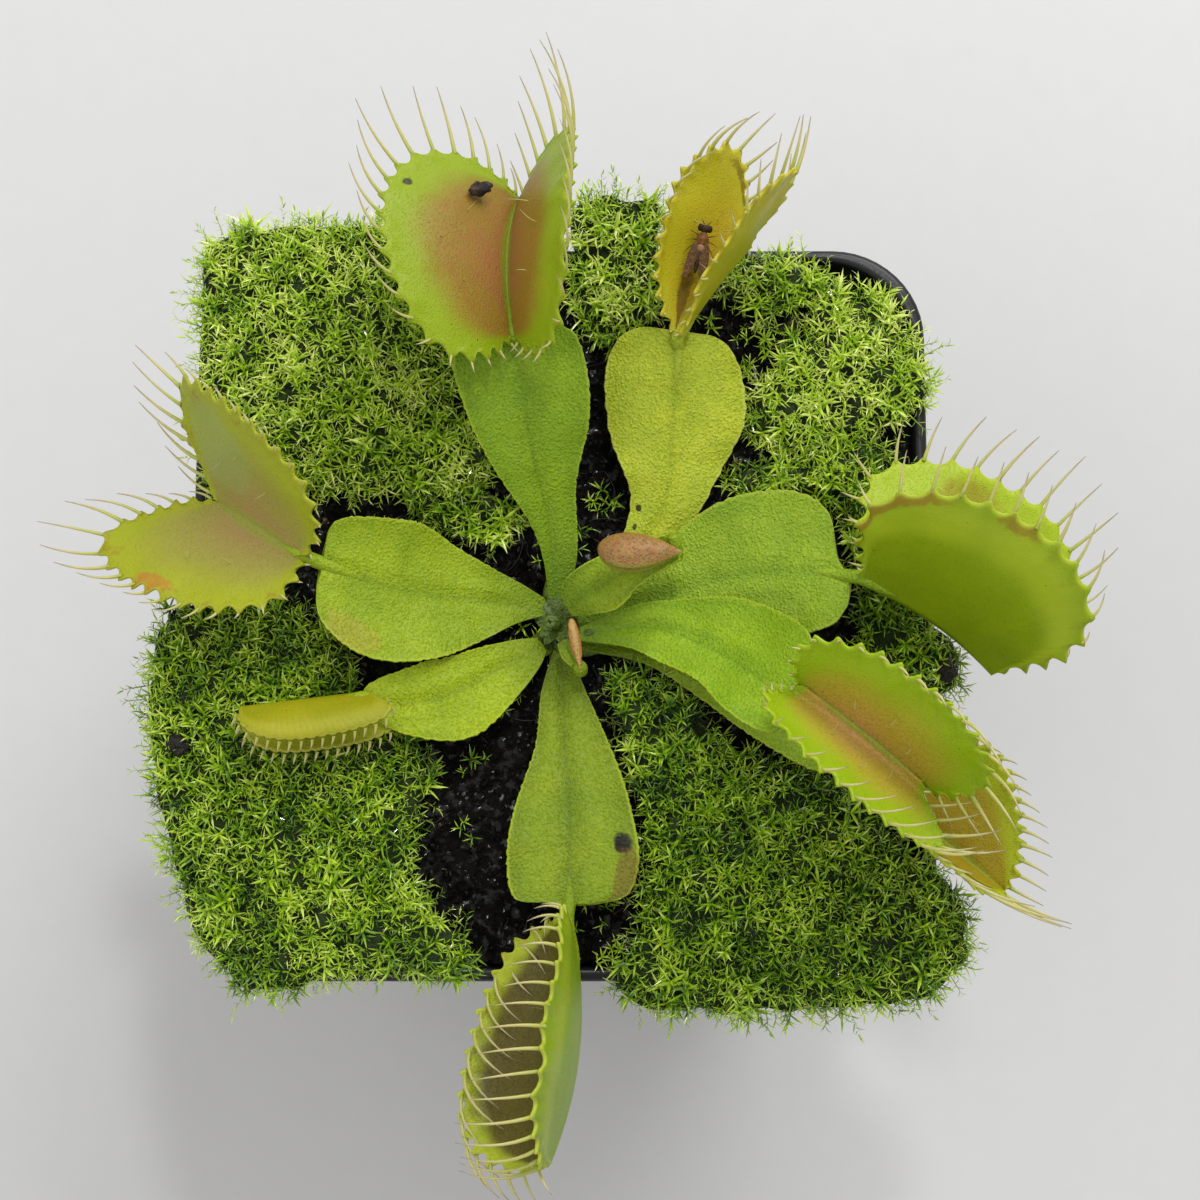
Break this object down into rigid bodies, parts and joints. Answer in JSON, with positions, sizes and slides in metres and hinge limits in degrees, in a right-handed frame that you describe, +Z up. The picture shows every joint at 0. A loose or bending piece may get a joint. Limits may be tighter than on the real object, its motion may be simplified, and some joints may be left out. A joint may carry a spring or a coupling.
{
  "type": "potted venus flytrap",
  "caption": "Carnivorous rosette plant with open toothed traps on flat leaf stalks, growing through moss in a square plastic nursery pot.",
  "frame": {"origin": "centre of the pot's underside", "axes": "+Z up, +Y towards the tallest trap (the top of the picture), +X to the picture's right"},
  "size_m": [0.1148, 0.1153, 0.1053],
  "materials": {
    "pot": "black, gloss",
    "peat": "wet dark peat",
    "leaf": "satin, lime green to pink",
    "moss": "soft, fine-leaved",
    "insect": "dark, satin",
    "bark": "rough brown"
  },
  "bodies": {
    "root": {"pot": "pot", "soil": "peat", "crown": "leaf", "leaf_north": "leaf", "leaf_northeast": "leaf", "leaf_east": "leaf", "leaf_southeast": "leaf", "leaf_southeast_low": "leaf", "leaf_south": "leaf", "leaf_southwest": "leaf", "leaf_west": "leaf", "leaf_young": "leaf", "leaf_bud": "leaf", "moss_northwest": "moss", "moss_north": "moss", "moss_north_rim": "moss", "moss_northeast": "moss", "moss_east": "moss", "moss_east_rim": "moss", "moss_southeast": "moss", "moss_southwest": "moss", "moss_centre": "moss", "captured_fly": "insect", "crumb_on_trap": "bark", "bark_chip": "bark", "peat_chunk": "bark", "peat_crumb": "bark"}
  },
  "joints": []
}
